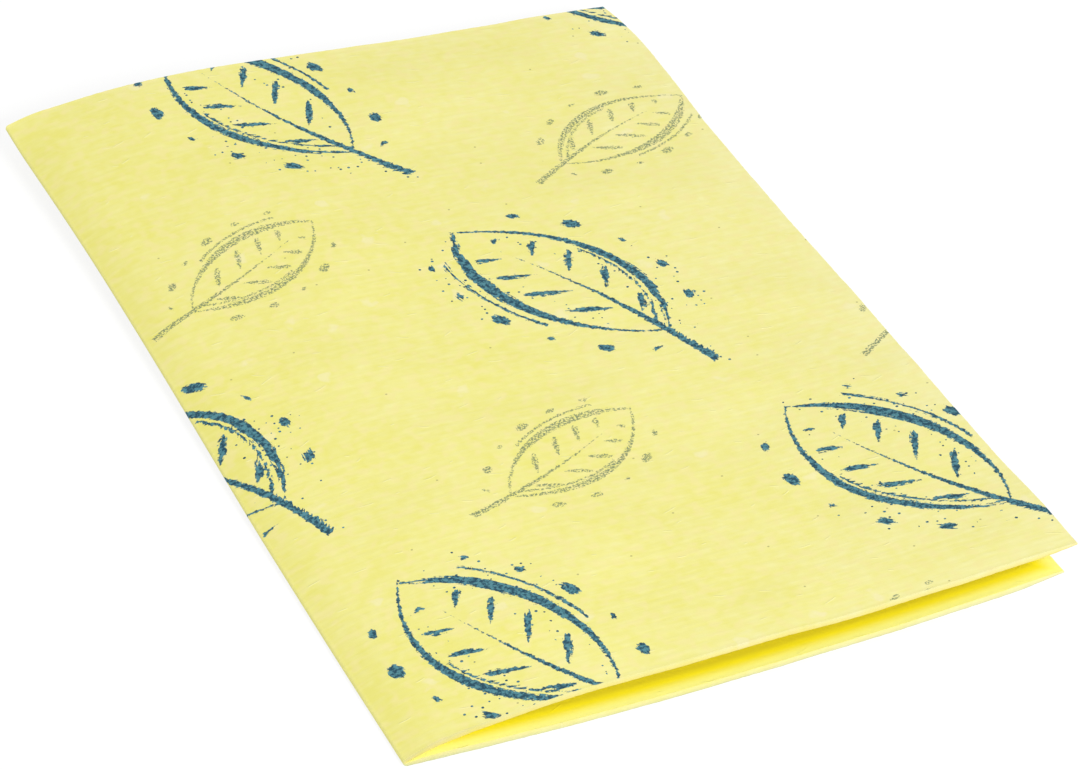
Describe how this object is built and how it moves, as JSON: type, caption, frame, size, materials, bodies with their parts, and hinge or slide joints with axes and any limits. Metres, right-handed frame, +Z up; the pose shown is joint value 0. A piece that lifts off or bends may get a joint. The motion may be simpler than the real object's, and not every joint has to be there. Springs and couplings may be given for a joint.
{
  "type": "sponge cloth",
  "caption": "Pale yellow cellulose sponge cloth, a thin rectangular sheet folded once in half, lying flat with its free edges slightly open.",
  "frame": {"origin": "centre of the folded sheet's bounding box, at the height of the table it lies on", "axes": "+Z up; the fold runs along Y at the -X side, the free edges are at the +X side and the front edge is towards -Y"},
  "size_m": [0.1569, 0.258, 0.0154],
  "materials": {
    "printed_cellulose_sponge": null
  },
  "bodies": {
    "root": {"sponge_cloth": "printed_cellulose_sponge"}
  },
  "joints": []
}
